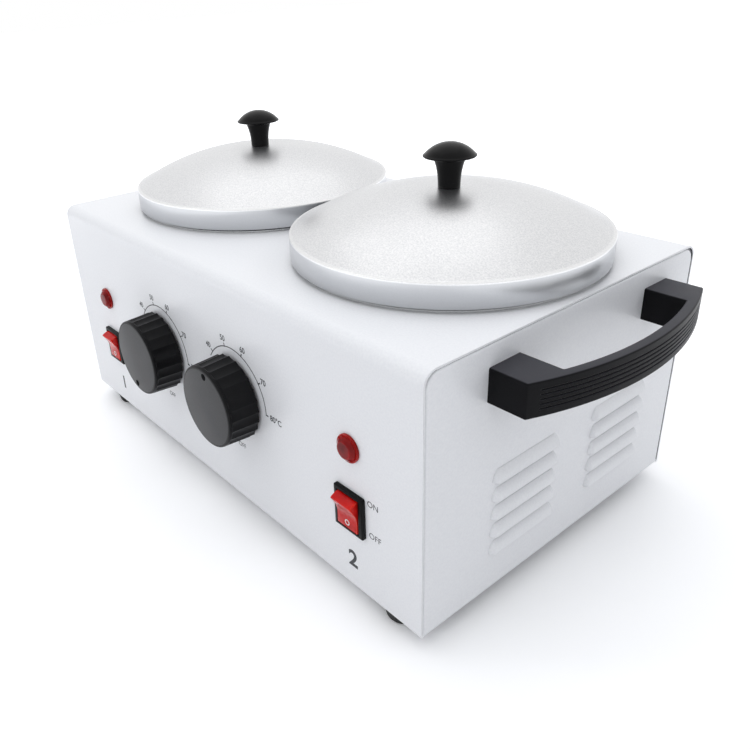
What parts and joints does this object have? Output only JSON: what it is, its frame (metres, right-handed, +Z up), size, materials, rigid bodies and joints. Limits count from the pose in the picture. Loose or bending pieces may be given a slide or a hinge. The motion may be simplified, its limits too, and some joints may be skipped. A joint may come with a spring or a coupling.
{
  "type": "double wax warmer",
  "caption": "Box-shaped double wax warmer with domed lids over lift-out pots, dials, rocker switches, pilot lights and end handles.",
  "frame": {"origin": "centre of the overall box on the table, under the feet", "axes": "+X to the right end seen from the front, -Y to the front with the dials, +Z up"},
  "size_m": [0.425, 0.2516, 0.2126],
  "materials": {
    "bakelite": "moulded phenolic",
    "block_nylon": "white nylon",
    "brass": "plated brass",
    "copper": "bare copper",
    "dial_plastic": "fine textured black plastic",
    "foot_rubber": "moulded rubber",
    "gland_nylon": "black nylon",
    "handle_plastic": "fine textured black plastic",
    "heater_steel": "heat-tinted steel tube",
    "lens_plastic": "translucent red plastic",
    "lid_aluminium": "satin stamped aluminium",
    "lid_knob_plastic": "moulded black plastic",
    "pot_aluminium": "satin spun aluminium",
    "powder_coat": "white powder coat, semi-gloss",
    "rocker_plastic": "translucent red plastic",
    "screw_steel": "plated screws",
    "shaft_steel": "bright steel",
    "switch_plastic": "black moulded plastic",
    "well_aluminium": "spun aluminium",
    "wire_insulation": "silicone insulation",
    "zinc_steel": "zinc plated sheet"
  },
  "bodies": {
    "casing": {"base_plate": "zinc_steel", "base_screws": "screw_steel", "bulb_clips": "shaft_steel", "casing_wrapper": "powder_coat", "clamp_nuts": "screw_steel", "clamp_washers": "screw_steel", "earth_nut": "brass", "foot_screws": "screw_steel", "gland_body": "gland_nylon", "gland_cap": "gland_nylon", "gland_lock_nut": "gland_nylon", "handle_screws": "screw_steel", "left_capillary": "copper", "left_end_panel": "powder_coat", "left_front_foot": "foot_rubber", "left_handle": "handle_plastic", "left_heater_clamp": "zinc_steel", "left_heater_ring": "heater_steel", "left_pilot_body": "switch_plastic", "left_pilot_lens": "lens_plastic", "left_rear_foot": "foot_rubber", "left_sensor_bulb": "copper", "left_switch_housing": "switch_plastic", "left_thermal_cutout": "bakelite", "left_thermostat": "bakelite", "left_well": "well_aluminium", "pilot_nuts": "shaft_steel", "right_capillary": "copper", "right_end_panel": "powder_coat", "right_front_foot": "foot_rubber", "right_handle": "handle_plastic", "right_heater_clamp": "zinc_steel", "right_heater_ring": "heater_steel", "right_pilot_body": "switch_plastic", "right_pilot_lens": "lens_plastic", "right_rear_foot": "foot_rubber", "right_sensor_bulb": "copper", "right_switch_housing": "switch_plastic", "right_thermal_cutout": "bakelite", "right_thermostat": "bakelite", "right_well": "well_aluminium", "switch_terminals": "brass", "terminal_block": "block_nylon", "terminal_screws": "brass", "thermostat_screws": "screw_steel", "wiring": "wire_insulation"},
    "left_pot": {"left_pot": "pot_aluminium"},
    "left_lid": {"left_lid": "lid_aluminium", "left_lid_knob": "lid_knob_plastic", "left_lid_screw": "screw_steel"},
    "left_dial": {"left_dial_knob": "dial_plastic", "left_thermostat_shaft": "shaft_steel"},
    "left_rocker": {"left_rocker": "rocker_plastic"},
    "right_pot": {"right_pot": "pot_aluminium"},
    "right_lid": {"right_lid": "lid_aluminium", "right_lid_knob": "lid_knob_plastic", "right_lid_screw": "screw_steel"},
    "right_dial": {"right_dial_knob": "dial_plastic", "right_thermostat_shaft": "shaft_steel"},
    "right_rocker": {"right_rocker": "rocker_plastic"}
  },
  "joints": [
    {"name": "left_pot_lift", "type": "slide", "parent": "casing", "child": "left_pot", "axis": [0, 0, 1], "range_m": [0, 0.095]},
    {"name": "left_lid_lift", "type": "slide", "parent": "left_pot", "child": "left_lid", "axis": [0, 0, 1], "range_m": [0, 0.08]},
    {"name": "left_dial_turn", "type": "hinge", "parent": "casing", "child": "left_dial", "pos_m": [-0.0499, -0.12, 0.0842], "axis": [0, 1, 0], "range_deg": [-14, 258]},
    {"name": "left_rocker_switch", "type": "hinge", "parent": "casing", "child": "left_rocker", "pos_m": [-0.1296, -0.1065, 0.059], "axis": [-1, 0, 0], "range_deg": [0, 28]},
    {"name": "right_pot_lift", "type": "slide", "parent": "casing", "child": "right_pot", "axis": [0, 0, 1], "range_m": [0, 0.095]},
    {"name": "right_lid_lift", "type": "slide", "parent": "right_pot", "child": "right_lid", "axis": [0, 0, 1], "range_m": [0, 0.08]},
    {"name": "right_dial_turn", "type": "hinge", "parent": "casing", "child": "right_dial", "pos_m": [0.0328, -0.12, 0.0842], "axis": [0, 1, 0], "range_deg": [-187, 85]},
    {"name": "right_rocker_switch", "type": "hinge", "parent": "casing", "child": "right_rocker", "pos_m": [0.1296, -0.1065, 0.059], "axis": [-1, 0, 0], "range_deg": [0, 28]}
  ]
}
